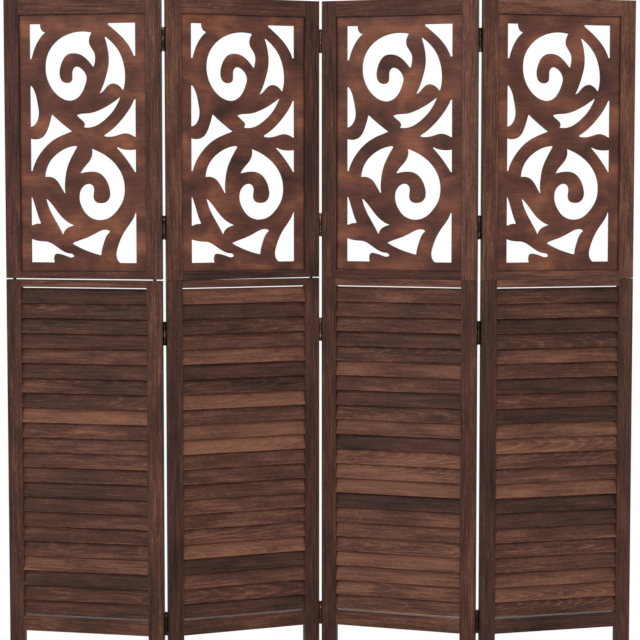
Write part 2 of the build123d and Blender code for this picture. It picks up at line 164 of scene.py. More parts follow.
class ScreenFinish(bpy.types.PropertyGroup):
    """Colours of the wood stain and the metals."""

    stain_dark: FloatVectorProperty(
        name="Dark Stain", description="Colour where the stain has sunk in most",
        default=(0.130, 0.082, 0.073), subtype="COLOR_GAMMA", size=3,
    )
    stain_middle: FloatVectorProperty(
        name="Middle Stain", description="Colour of plain stained wood",
        default=(0.336, 0.214, 0.175), subtype="COLOR_GAMMA", size=3,
    )
    stain_light: FloatVectorProperty(
        name="Light Stain", description="Colour where the wood took little stain",
        default=(0.570, 0.385, 0.296), subtype="COLOR_GAMMA", size=3,
    )
    board_dark: FloatVectorProperty(
        name="Dark Board", description="Darkest colour of the stained boards",
        default=(0.170, 0.095, 0.078), subtype="COLOR_GAMMA", size=3,
    )
    board_middle: FloatVectorProperty(
        name="Middle Board", description="Middle colour of the stained boards",
        default=(0.388, 0.228, 0.180), subtype="COLOR_GAMMA", size=3,
    )
    board_light: FloatVectorProperty(
        name="Light Board", description="Lightest colour of the stained boards",
        default=(0.620, 0.385, 0.270), subtype="COLOR_GAMMA", size=3,
    )
    hinge_metal: FloatVectorProperty(
        name="Hinge Metal", description="Colour of the hinges' dark bronze plating",
        default=(0.215, 0.175, 0.155), subtype="COLOR_GAMMA", size=3,
    )
    # The rubbed colour is partly worn plating and partly painted glints on edges and knuckles
    worn_metal_and_glint: FloatVectorProperty(
        name="Worn Metal", description="Colour where the plating is rubbed",
        default=(0.640, 0.530, 0.450), subtype="COLOR_GAMMA", size=3,
    )
    pin_steel: FloatVectorProperty(
        name="Pin Steel", description="Colour of the blackened steel pins",
        default=(0.090, 0.082, 0.080), subtype="COLOR_GAMMA", size=3,
    )
    stile_seeds: IntVectorProperty(
        name="Stile Seeds", description="Draw of the stiles' tones in each panel",
        default=(574, 871, 193, 711), size=4,
    )
    rail_seeds: IntVectorProperty(
        name="Rail Seeds", description="Draw of the rails' tones in each panel",
        default=(375, 102, 32, 751), size=4,
    )


class ScreenStudio(bpy.types.PropertyGroup):
    """The studio: camera, lamps and floor."""

    camera_place: FloatVectorProperty(
        name="Camera Place", description="Where the camera stands",
        default=(-0.0029, -4.9936, 1.2658), subtype="TRANSLATION", unit="LENGTH", size=3,
    )
    camera_pitch: FloatProperty(
        name="Camera Pitch", description="How far the camera looks down",
        default=radians(4.086), subtype="ANGLE",
    )
    camera_lens: FloatProperty(
        name="Lens", description="Focal length on a 36 mm sensor", default=113.37, unit="CAMERA",
    )
    room_light: FloatProperty(
        name="Room Light", description="Strength of the even light from all round", default=0.50,
    )
    key_power: FloatProperty(
        name="Key Power", description="Power of the large lamp above the camera", default=60.0, unit="POWER",
    )
    fill_power: FloatProperty(
        name="Fill Power", description="Power of the lamps at the sides", default=12.0, unit="POWER",
    )
    back_power: FloatProperty(
        name="Back Power", description="Power of the large lamp behind the screen",
        default=36.0, unit="POWER",
    )
    floor_size: FloatProperty(
        name="Floor Size", description="Length of the floor's sides",
        default=14.0, subtype="DISTANCE", unit="LENGTH",
    )


# Node trees


def add_node(tree, kind, inputs=None, **settings):
    """Add a node, set its properties, and give each named or numbered input its value or its link."""
    node = tree.nodes.new(kind)
    for name, value in settings.items():
        setattr(node, name, value)
    for key, value in (inputs or {}).items():
        if isinstance(value, bpy.types.NodeSocket):
            tree.links.new(value, node.inputs[key])
        else:
            node.inputs[key].default_value = value
    return node


def maths(tree, operation, *values, clamp=False):
    """A Math node's result."""
    node = add_node(tree, "ShaderNodeMath", dict(enumerate(values)), operation=operation, use_clamp=clamp)
    return node.outputs[0]


def vectors(tree, operation, *values):
    """A Vector Math node's vector."""
    node = add_node(tree, "ShaderNodeVectorMath", dict(enumerate(values)), operation=operation)
    return node.outputs["Vector"]


def measured(tree, operation, *values):
    """A Vector Math node's number."""
    node = add_node(tree, "ShaderNodeVectorMath", dict(enumerate(values)), operation=operation)
    return node.outputs["Value"]


def split(tree, vector):
    """The three parts of a vector."""
    return add_node(tree, "ShaderNodeSeparateXYZ", {0: vector}).outputs


def joined(tree, x, y, z):
    """A vector of three parts."""
    return add_node(tree, "ShaderNodeCombineXYZ", {0: x, 1: y, 2: z}).outputs[0]


def smooth_step(tree, value, low, high):
    """0 below the low value, 1 above the high one, and smooth between."""
    inputs = {0: value, 1: low, 2: high}
    return add_node(tree, "ShaderNodeMapRange", inputs, interpolation_type="SMOOTHSTEP").outputs[0]


def spread(tree, value, width, middle):
    """A value from 0 to 1, spread over a width round a middle."""
    return maths(tree, "MULTIPLY_ADD", maths(tree, "SUBTRACT", value, 0.5), width, middle)


def draws(tree, number):
    """A value and a colour drawn for a number."""
    return add_node(tree, "ShaderNodeTexWhiteNoise", {"W": number}, noise_dimensions="1D").outputs


def moved(tree, place, draw, reach):
    """A place moved by a draw, so that each piece shows another part of a pattern."""
    inputs = {0: draw["Color"], "Scale": reach}
    shift = add_node(tree, "ShaderNodeVectorMath", inputs, operation="SCALE").outputs["Vector"]
    return vectors(tree, "ADD", place, shift)


def noise(tree, place, stretch, detail=2.0, roughness=0.5, distortion=0.0):
    """Noise with features of 1 / stretch metres along each axis, as its value and its colour."""
    return add_node(tree, "ShaderNodeTexNoise", {
        "Vector": vectors(tree, "MULTIPLY", place, stretch), "Scale": 1.0,
        "Detail": detail, "Roughness": roughness, "Distortion": distortion,
    }).outputs


def mixed(tree, share, first, second):
    """A mix of two colours."""
    return add_node(tree, "ShaderNodeMix", {0: share, 6: first, 7: second}, data_type="RGBA").outputs[2]


def new_group(kind, name, inputs, outputs):
    """Start a node group, and give it with its input values and its output node's inputs."""
    tree = bpy.data.node_groups.new(name, kind)
    for socket_name, (socket_type, value) in inputs.items():
        socket = tree.interface.new_socket(socket_name, in_out="INPUT", socket_type=socket_type)
        if value is not None:
            socket.default_value = value
    for socket_name, socket_type in outputs.items():
        tree.interface.new_socket(socket_name, in_out="OUTPUT", socket_type=socket_type)
    given = tree.nodes.new("NodeGroupInput").outputs
    result = tree.nodes.new("NodeGroupOutput").inputs
    return tree, given, result


def shared_group(make):
    """The node group that a function makes, made on its first use."""
    found = bpy.data.node_groups.get(make.__name__)
    if found is None:
        found = make()
        found.name = make.__name__
    return found


def use_group(tree, make, inputs):
    """A shared group's outputs in a tree."""
    return add_node(tree, "ShaderNodeGroup", inputs, node_tree=shared_group(make)).outputs


def seen_rays(tree):
    """1 for the rays that reach the eye straight, by a mirror or through glass, and 0 for the others."""
    rays = tree.nodes.new("ShaderNodeLightPath").outputs
    straight = maths(tree, "ADD", rays["Is Camera Ray"], rays["Is Glossy Ray"])
    return maths(tree, "ADD", straight, rays["Is Transmission Ray"], clamp=True)


FLOAT, VECTOR, COLOUR = "NodeSocketFloat", "NodeSocketVector", "NodeSocketColor"
INTEGER, MATERIAL, GEOMETRY = "NodeSocketInt", "NodeSocketMaterial", "NodeSocketGeometry"
STAIN_SOCKETS = {"Dark": (COLOUR, None), "Middle": (COLOUR, None), "Light": (COLOUR, None)}


def plank_figure():
    """Growth rings, streaks, pores and clouds of a plank that lies along X, with its face across Z."""
    tree, given, result = new_group(
        "ShaderNodeTree", "plank_figure",
        {
            "Place": (VECTOR, None), "Plank": (FLOAT, 0.0),
            "Ring Width": (FLOAT, 0.0045), "Wander": (FLOAT, 0.012), "Slope": (FLOAT, 0.16),
        },
        {"Rings": FLOAT, "Streaks": FLOAT, "Pores": FLOAT, "Clouds": FLOAT, "Grain": FLOAT},
    )
    draw = draws(tree, given["Plank"])
    drawn = split(tree, draw["Color"])
    place = moved(tree, given["Place"], draw, 17.0)
    here = split(tree, given["Place"])

    # The tree's heart lies behind the face and runs a little out of line, so that a face cuts its rings
    bend = split(tree, noise(tree, place, (4.5, 14.0, 14.0), detail=3.0)["Color"])
    lean = maths(tree, "MULTIPLY", maths(tree, "SUBTRACT", drawn[0], 0.5), given["Slope"])
    depth = maths(tree, "MULTIPLY_ADD", here[0], lean, here[1])
    depth = maths(tree, "ADD", depth, maths(tree, "MULTIPLY_ADD", drawn[1], 0.035, 0.012))
    depth = spread(tree, bend[0], given["Wander"], depth)
    across = maths(tree, "ADD", here[2], maths(tree, "MULTIPLY_ADD", drawn[2], 0.03, -0.015))
    across = spread(tree, bend[1], given["Wander"], across)
    radius = maths(tree, "SQRT", maths(
        tree, "ADD", maths(tree, "POWER", depth, 2.0), maths(tree, "POWER", across, 2.0)
    ))
    turns = maths(tree, "DIVIDE", radius, given["Ring Width"])
    wave = maths(tree, "PINGPONG", turns, 0.5)
    broken = noise(tree, place, (60.0, 240.0, 240.0), detail=2.0)["Fac"]
    ring = smooth_step(tree, maths(tree, "MULTIPLY_ADD", broken, 0.60, wave), 0.52, 0.78)

    tree.links.new(ring, result["Rings"])
    streaks = noise(tree, place, (9.0, 210.0, 210.0), detail=3.0, roughness=0.65)["Fac"]
    tree.links.new(maths(tree, "SUBTRACT", streaks, 0.5), result["Streaks"])
    pores = noise(tree, place, (85.0, 330.0, 330.0), detail=2.0, roughness=0.6)["Fac"]
    tree.links.new(smooth_step(tree, pores, 0.50, 0.72), result["Pores"])
    clouds = noise(tree, place, (6.0, 26.0, 26.0), detail=3.0, roughness=0.6)["Fac"]
    tree.links.new(maths(tree, "SUBTRACT", clouds, 0.5), result["Clouds"])
    grain = noise(tree, place, (60.0, 1500.0, 1500.0), detail=2.0)["Fac"]
    tree.links.new(grain, result["Grain"])
    return tree


def stain_colour():
    """The colour of a stain at a tone: dark at 0, middle at 0.5 and light at 1."""
    tree, given, result = new_group(
        "ShaderNodeTree", "stain_colour", {"Tone": (FLOAT, 0.5), **STAIN_SOCKETS}, {"Color": COLOUR},
    )
    rise = maths(tree, "MULTIPLY", given["Tone"], 2.0, clamp=True)
    lower = mixed(tree, rise, given["Dark"], given["Middle"])
    rise = maths(tree, "MULTIPLY_ADD", given["Tone"], 2.0, -1.0, clamp=True)
    tree.links.new(mixed(tree, rise, lower, given["Light"]), result["Color"])
    return tree


def stained(tree, given, tone):
    """The colour of a group's own stain at a tone."""
    colours = {key: given[key] for key in STAIN_SOCKETS}
    return use_group(tree, stain_colour, {"Tone": tone, **colours})["Color"]


def stained_wood():
    """A stained plank: its figure, and the colour that this and its wear give it."""
    tree, given, result = new_group(
        "ShaderNodeTree", "stained_wood",
        {
            "Place": (VECTOR, None), "Plank": (FLOAT, 0.0), "Tone": (FLOAT, 0.5), "Wear": (FLOAT, 0.0),
            "Ring Width": (FLOAT, 0.0045), "Ring Strength": (FLOAT, 0.2), "Streak Strength": (FLOAT, 1.0),
            "Pore Strength": (FLOAT, 0.1), "Cloud Strength": (FLOAT, 0.8), "Grain Strength": (FLOAT, 0.45),
            "Wear Strength": (FLOAT, 0.30), "Plank Spread": (FLOAT, 0.10), **STAIN_SOCKETS,
        },
        {"Color": COLOUR, "Roughness": FLOAT, "Height": FLOAT},
    )
    draw = draws(tree, given["Plank"])["Value"]
    seen = use_group(tree, plank_figure, {key: given[key] for key in ("Place", "Plank", "Ring Width")})

    # Some planks show their rings plainly and some hardly at all
    ring_share = smooth_step(tree, draw, 0.25, 0.85)
    tone = spread(tree, draw, given["Plank Spread"], given["Tone"])
    for amount, strength in (
        (seen["Clouds"], "Cloud"), (seen["Streaks"], "Streak"),
        (maths(tree, "MULTIPLY", seen["Rings"], ring_share), "Ring"), (seen["Pores"], "Pore"),
        (maths(tree, "SUBTRACT", seen["Grain"], 0.5), "Grain"), (given["Wear"], "Wear"),
    ):
        tone = maths(tree, "MULTIPLY_ADD", amount, given[f"{strength} Strength"], tone)

    tree.links.new(stained(tree, given, tone), result["Color"])
    rough = maths(tree, "MULTIPLY_ADD", seen["Grain"], 0.16, 0.48)
    tree.links.new(maths(tree, "MULTIPLY_ADD", seen["Pores"], 0.08, rough), result["Roughness"])
    height = maths(tree, "MULTIPLY_ADD", seen["Grain"], 0.6, maths(tree, "MULTIPLY", seen["Pores"], -0.4))
    tree.links.new(maths(tree, "MULTIPLY_ADD", seen["Rings"], 0.25, height), result["Height"])
    return tree


def stained_veneer():
    """A thin board's face veneer: blotches of stain, fine level streaks and a few pale nicks."""
    tree, given, result = new_group(
        "ShaderNodeTree", "stained_veneer",
        {
            "Place": (VECTOR, None), "Board": (FLOAT, 0.0), "Shade": (FLOAT, 0.0),
            "Nick Strength": (FLOAT, 0.26), **STAIN_SOCKETS,
        },
        {"Color": COLOUR, "Roughness": FLOAT, "Height": FLOAT},
    )
    place = moved(tree, given["Place"], draws(tree, given["Board"]), 23.0)
    blotches = noise(tree, place, (9.0, 9.0, 13.0), detail=4.0, roughness=0.5, distortion=0.4)["Fac"]
    streaks = noise(tree, place, (14.0, 60.0, 260.0), detail=3.0, roughness=0.6)["Fac"]
    fine = noise(tree, place, (90.0, 900.0, 1600.0), detail=2.0)["Fac"]
    nicks = smooth_step(tree, noise(tree, place, (34.0, 300.0, 620.0), detail=2.0)["Fac"], 0.64, 0.72)
    tone = spread(tree, blotches, 1.80, 0.48)
    tone = spread(tree, streaks, 0.40, tone)
    tone = spread(tree, fine, 0.30, tone)
    tone = maths(tree, "MULTIPLY_ADD", nicks, given["Nick Strength"], tone)
    # The shade input darkens the tone: the boards feed it painted shade in their corners to the frame and their
    # darker sawn edges
    tone = maths(tree, "SUBTRACT", tone, given["Shade"])
    tree.links.new(stained(tree, given, tone), result["Color"])
    tree.links.new(maths(tree, "MULTIPLY_ADD", streaks, 0.30, 0.30), result["Roughness"])
    tree.links.new(streaks, result["Height"])
    return tree


def edge_wear():
    """Where the finish is rubbed: along edges, in patches."""
    tree, given, result = new_group(
        "ShaderNodeTree", "edge_wear", {"Place": (VECTOR, None), "Edge": (FLOAT, 0.0)}, {"Wear": FLOAT},
    )
    patches = noise(tree, given["Place"], (30.0, 30.0, 30.0), detail=3.0)["Fac"]
    patches = smooth_step(tree, patches, 0.42, 0.62)
    tree.links.new(maths(tree, "MULTIPLY", given["Edge"], patches), result["Wear"])
    return tree


def rounded_edges():
    """How far the surface turns away within a small radius: 0 on a flat face and 1 on an edge."""
    tree, given, result = new_group(
        "ShaderNodeTree", "rounded_edges", {"Radius": (FLOAT, 0.0012)}, {"Edge": FLOAT},
    )
    soft = add_node(tree, "ShaderNodeBevel", {"Radius": given["Radius"]}, samples=4).outputs["Normal"]
    hard = tree.nodes.new("ShaderNodeNewGeometry").outputs["Normal"]
    away = maths(tree, "SUBTRACT", 1.0, measured(tree, "DOT_PRODUCT", soft, hard))
    tree.links.new(smooth_step(tree, away, 0.01, 0.12), result["Edge"])
    return tree


def rubbed_plating_and_glints():
    """Dark plating with small pits, rubbed bright in patches and on edges, partly real wear and partly painted
    glints.
    """
    tree, given, result = new_group(
        "ShaderNodeTree", "rubbed_plating_and_glints",
        {
            "Place": (VECTOR, None), "Edge": (FLOAT, 0.0),
            "Plating": (COLOUR, None), "Rubbed": (COLOUR, None),
        },
        {"Color": COLOUR, "Roughness": FLOAT, "Height": FLOAT},
    )
    patches = noise(tree, given["Place"], (160.0, 160.0, 110.0), detail=4.0, roughness=0.6)["Fac"]
    # The rubbed mask on edges and patches is partly wear and partly painted glints
    rubbed = smooth_step(tree, maths(tree, "MULTIPLY_ADD", given["Edge"], 0.30, patches), 0.58, 0.76)
    tree.links.new(mixed(tree, rubbed, given["Plating"], given["Rubbed"]), result["Color"])
    tree.links.new(maths(tree, "MULTIPLY_ADD", patches, 0.35, 0.18), result["Roughness"])
    pits = noise(tree, given["Place"], (900.0, 900.0, 900.0), detail=2.0)["Fac"]
    tree.links.new(pits, result["Height"])
    return tree


# Materials


def linear(colour):
    """A display colour as the linear colour that a shader takes."""
    parts = [part / 12.92 if part <= 0.04045 else ((part + 0.055) / 1.055) ** 2.4 for part in colour]
    return (*parts, 1.0)


def new_material(name):
    """A material, its node tree and its surface shader."""
    material = bpy.data.materials.new(name)
    material.use_nodes = True
    return material, material.node_tree, material.node_tree.nodes["Principled BSDF"]


def finish_surface(tree, surface, pattern, relief):
    """Link a pattern's colour, roughness and height to the surface shader."""
    tree.links.new(pattern["Color"], surface.inputs["Base Color"])
    tree.links.new(pattern["Roughness"], surface.inputs["Roughness"])
    inputs = {"Height": pattern["Height"], "Strength": 0.5, "Distance": relief}
    bump = add_node(tree, "ShaderNodeBump", inputs)
    tree.links.new(bump.outputs["Normal"], surface.inputs["Normal"])


def panel_matrix(panel):
    """A panel's own frame, from the middles of its two feet on the floor."""
    left, right = FEET[f"panel_{panel}_left_foot"], FEET[f"panel_{panel}_right_foot"]
    heading = atan2(right.y - left.y, right.x - left.x)
    to_corner = Matrix.Translation((-STILE_WIDTH / 2, -PANEL_THICKNESS / 2, 0))
    return Matrix.Translation(left) @ Matrix.Rotation(heading, 4, "Z") @ to_corner


def panel_place(tree, panel):
    """The place of a surface point in its panel's own frame."""
    matrix = panel_matrix(panel)
    inputs = {
        "Vector": tree.nodes.new("ShaderNodeTexCoord").outputs["Object"],
        "Location": matrix.translation,
        "Rotation": matrix.to_euler(),
    }
    return add_node(tree, "ShaderNodeMapping", inputs, vector_type="TEXTURE").outputs["Vector"]


def stain_values(finish, kind):
    """The three colours of the stain of the frames and slats or of the boards."""
    return {key: linear(getattr(finish, f"{kind}_{key.lower()}")) for key in STAIN_SOCKETS}


def frame_wood_material(finish, panel, kind):
    """Stained wood for the stiles or the rails of a panel, each member with a tone of its own."""
    material, tree, surface = new_material(f"{kind}_wood_{panel}")
    place = panel_place(tree, panel)
    across, depth, height = split(tree, place)
    if kind == "stile":
        seed = finish.stile_seeds[panel - 1]
        member = maths(tree, "GREATER_THAN", across, PANEL_WIDTH / 2)
        above = maths(tree, "GREATER_THAN", height, OVER_SEAM)
        member = maths(tree, "MULTIPLY_ADD", above, 2.0, member)
        lying = joined(tree, height, depth, across)
    else:
        seed = finish.rail_seeds[panel - 1]
        member = maths(tree, "GREATER_THAN", height, SEAM_HEIGHT / 2)
        for level in (OVER_SEAM, (BOARD_BOTTOM + BOARD_TOP) / 2):
            member = maths(tree, "ADD", member, maths(tree, "GREATER_THAN", height, level))
        lying = place
    draw = add_node(
        tree, "ShaderNodeTexWhiteNoise", {"Vector": joined(tree, member, seed, 0.0)}, noise_dimensions="2D"
    ).outputs["Value"]
    tone = spread(tree, draw, FRAME_TONE_SPREAD, FRAME_TONE)
    edge = use_group(tree, rounded_edges, {})["Edge"]
    wear = use_group(tree, edge_wear, {"Place": place, "Edge": edge})["Wear"]
    inputs = {
        "Place": lying, "Plank": maths(tree, "ADD", member, 10.0 * panel), "Tone": tone, "Wear": wear,
        "Ring Width": 0.0036, "Ring Strength": 0.16, "Streak Strength": 1.05, "Pore Strength": 0.20,
        "Cloud Strength": 0.85, **stain_values(finish, "stain"),
    }
    wood = use_group(tree, stained_wood, inputs)
    finish_surface(tree, surface, wood, WOOD_RELIEF)
    surface.inputs["Specular IOR Level"].default_value = WOOD_GLOSS
    return material


def slat_wood_material(finish):
    """Stained wood for the slats, which read their own place and tone from their attributes."""
    material, tree, surface = new_material("slat_wood")
    place = add_node(tree, "ShaderNodeAttribute", attribute_name="slat_place").outputs["Vector"]
    drawn = add_node(tree, "ShaderNodeAttribute", attribute_name="slat_tone").outputs["Fac"]
    tone = spread(tree, drawn, SLAT_TONE_SPREAD, SLAT_TONE)
    # The lighter band along each slat's long edges is partly wear and partly a painted highlight where the edges
    # catch the light
    edge = smooth_step(tree, maths(tree, "ABSOLUTE", split(tree, place)[2]), *SLAT_EDGE_WEAR_AND_HIGHLIGHT)
    wear = use_group(tree, edge_wear, {"Place": place, "Edge": edge})["Wear"]
    inputs = {
        "Place": place, "Plank": maths(tree, "MULTIPLY", drawn, 91.0), "Tone": tone, "Wear": wear,
        "Ring Width": 0.0030, "Ring Strength": 0.21, "Streak Strength": 1.05, "Pore Strength": 0.20,
        "Cloud Strength": 1.00, **stain_values(finish, "stain"),
    }
    wood = use_group(tree, stained_wood, inputs)
    finish_surface(tree, surface, wood, WOOD_RELIEF)
    surface.inputs["Specular IOR Level"].default_value = WOOD_GLOSS
    return material


def board_material(finish, panel):
    """Stained plywood with painted shade along the frame, darker on its sawn edges, where the plies show."""
    material, tree, surface = new_material(f"board_plywood_{panel}")
    place = panel_place(tree, panel)
    across, depth, height = split(tree, place)
    to_side = maths(tree, "SUBTRACT", PANEL_WIDTH / 2 - STILE_WIDTH, maths(
        tree, "ABSOLUTE", maths(tree, "SUBTRACT", across, PANEL_WIDTH / 2)
    ))
    to_rail = maths(tree, "SUBTRACT", (BOARD_TOP - BOARD_BOTTOM) / 2, maths(
        tree, "ABSOLUTE", maths(tree, "SUBTRACT", height, (BOARD_TOP + BOARD_BOTTOM) / 2)
    ))
    to_frame = maths(tree, "MINIMUM", to_side, to_rail)
    # Painted shade: the board is darkened in the corner along its frame
    corner = maths(tree, "SUBTRACT", 1.0, smooth_step(tree, to_frame, 0.0005, 0.0045))
    from_middle = maths(tree, "ABSOLUTE", maths(
        tree, "SUBTRACT", depth, BOARD_FRONT + BOARD_THICKNESS / 2
    ))
    sawn = maths(tree, "SUBTRACT", 1.0, smooth_step(
        tree, from_middle, BOARD_THICKNESS / 2 - 0.0003, BOARD_THICKNESS / 2 - 0.0001
    ))
    ply = smooth_step(tree, from_middle, BOARD_THICKNESS / 6 - 0.0001, BOARD_THICKNESS / 6 + 0.0001)
    shade = maths(tree, "MULTIPLY_ADD", sawn, SAWN_SHADE, maths(tree, "MULTIPLY", corner, PAINTED_CORNER_SHADE))
    shade = maths(tree, "MULTIPLY_ADD", maths(tree, "MULTIPLY", sawn, ply), OUTER_PLY_SHADE, shade)
    inputs = {"Place": place, "Board": float(panel), "Shade": shade, **stain_values(finish, "board")}
    veneer = use_group(tree, stained_veneer, inputs)
    finish_surface(tree, surface, veneer, BOARD_RELIEF)
    surface.inputs["Specular IOR Level"].default_value = BOARD_GLOSS
    return material


def metal_material(name, plating, rubbed, axis=None):
    """Plated steel, rubbed on its edges, and on the knuckles round an axis, where the lighter rubbed colour also
    paints glints.
    """
    material, tree, surface = new_material(name)
    place = tree.nodes.new("ShaderNodeTexCoord").outputs["Object"]
    edge = use_group(tree, rounded_edges, {"Radius": 0.0008})["Edge"]
    if axis is not None:
        # The knuckles round the axis are rubbed lighter, partly wear and partly painted glints on the barrels
        out = vectors(tree, "MULTIPLY", vectors(tree, "SUBTRACT", place, axis), (1.0, 1.0, 0.0))
        beyond = smooth_step(tree, measured(tree, "LENGTH", out), KNUCKLE_RADIUS, KNUCKLE_RADIUS * 1.1)
        knuckle = maths(tree, "MULTIPLY", maths(tree, "SUBTRACT", 1.0, beyond), KNUCKLE_WEAR_AND_GLINT)
        edge = maths(tree, "MAXIMUM", edge, knuckle)
    inputs = {"Place": place, "Edge": edge, "Plating": linear(plating), "Rubbed": linear(rubbed)}
    metal = use_group(tree, rubbed_plating_and_glints, inputs)
    finish_surface(tree, surface, metal, METAL_RELIEF)
    surface.inputs["Metallic"].default_value = 0.9
    return material


def give_material(node_name, material):
    """Give a carried-over node its finish."""
    node = frame["nodes"][node_name]
    node.data.materials.clear()
    node.data.materials.append(material)


# Geometry nodes


def store_attribute(tree, geometry, name, value, data_type, domain="POINT"):
    """Store a named attribute on a geometry."""
    return add_node(tree, "GeometryNodeStoreNamedAttribute", {
        "Geometry": geometry, "Name": name, "Value": value,
    }, data_type=data_type, domain=domain).outputs["Geometry"]


def named_attribute(tree, name, data_type):
    """The value of a named attribute."""
    node = add_node(tree, "GeometryNodeInputNamedAttribute", {"Name": name}, data_type=data_type)
    return node.outputs["Attribute"]


def random_value(tree, number, seed):
    """A value from 0 to 1 drawn for each number."""
    inputs = {"ID": number, "Seed": seed}
    outputs = add_node(tree, "FunctionNodeRandomValue", inputs, data_type="FLOAT").outputs
    return next(output for output in outputs if output.enabled)


def realised(tree, instances):
    """Instances made into real geometry."""
    return add_node(tree, "GeometryNodeRealizeInstances", {"Geometry": instances}).outputs["Geometry"]


def with_material(tree, geometry, material):
    """A geometry with its material set."""
    inputs = {"Geometry": geometry, "Material": material}
    return add_node(tree, "GeometryNodeSetMaterial", inputs).outputs["Geometry"]


def transformed(tree, geometry, **places):
    """A geometry moved or turned."""
    return add_node(tree, "GeometryNodeTransform", {"Geometry": geometry, **places}).outputs["Geometry"]


def louvre_row():
    """A row of tilted slats that stand one above the other, each with its own tone and a slight bow."""
    tree, given, result = new_group(
        "GeometryNodeTree", "louvre_row",
        {
            "Slats": (INTEGER, 22), "Spacing": (FLOAT, 0.0372), "Length": (FLOAT, 0.3336),
            "Width": (FLOAT, 0.0385), "Thickness": (FLOAT, 0.005), "Edge Radius": (FLOAT, 0.0012),
            "Tilt": (FLOAT, 0.28), "Bow": (FLOAT, 0.0003), "Seed": (INTEGER, 0), "Wood": (MATERIAL, None),
        },
        {"Slats": GEOMETRY},
    )
    outline = add_node(tree, "GeometryNodeCurvePrimitiveQuadrilateral", {
        "Width": given["Thickness"], "Height": given["Width"],
    }).outputs["Curve"]
    outline = add_node(tree, "GeometryNodeFilletCurve", {
        "Curve": outline, "Count": 4, "Radius": given["Edge Radius"],
    }, mode="POLY").outputs["Curve"]
    half = maths(tree, "MULTIPLY", given["Length"], 0.5)
    axis = add_node(tree, "GeometryNodeCurvePrimitiveLine", {
        "Start": joined(tree, maths(tree, "MULTIPLY", half, -1.0), 0.0, 0.0),
        "End": joined(tree, half, 0.0, 0.0),
    }).outputs["Curve"]
    axis = add_node(tree, "GeometryNodeResampleCurve", {"Curve": axis, "Count": 13}).outputs["Curve"]
    slat = add_node(tree, "GeometryNodeCurveToMesh", {
        "Curve": axis, "Profile Curve": outline, "Fill Caps": True,
    }).outputs["Mesh"]
    place = tree.nodes.new("GeometryNodeInputPosition").outputs[0]
    slat = store_attribute(tree, slat, "slat_place", place, "FLOAT_VECTOR")

    seats = add_node(tree, "GeometryNodeMeshLine", {
        "Count": given["Slats"], "Offset": joined(tree, 0.0, 0.0, given["Spacing"]),
    }).outputs["Mesh"]
    row = add_node(tree, "GeometryNodeInstanceOnPoints", {
        "Points": seats, "Instance": slat,
        "Rotation": joined(tree, maths(tree, "MULTIPLY", given["Tilt"], -1.0), 0.0, 0.0),
    }).outputs["Instances"]
    number = tree.nodes.new("GeometryNodeInputIndex").outputs[0]
    tone = random_value(tree, number, given["Seed"])
    row = realised(tree, store_attribute(tree, row, "slat_tone", tone, "FLOAT", "INSTANCE"))

    # A bow is largest at the middle of a slat's length and nothing at its ends
    share = maths(tree, "DIVIDE", split(tree, named_attribute(tree, "slat_place", "FLOAT_VECTOR"))[0], half)
    arch = maths(tree, "SUBTRACT", 1.0, maths(tree, "POWER", maths(tree, "ABSOLUTE", share), 2.0))
    side = maths(tree, "MULTIPLY_ADD", maths(tree, "FRACT", maths(
        tree, "MULTIPLY", named_attribute(tree, "slat_tone", "FLOAT"), 37.0
    )), 2.0, -1.0)
    offset = maths(tree, "MULTIPLY", maths(tree, "MULTIPLY", arch, side), given["Bow"])
    row = add_node(tree, "GeometryNodeSetPosition", {
        "Geometry": row, "Offset": joined(tree, 0.0, offset, 0.0),
    }).outputs["Geometry"]
    tree.links.new(with_material(tree, row, given["Wood"]), result["Slats"])
    return tree


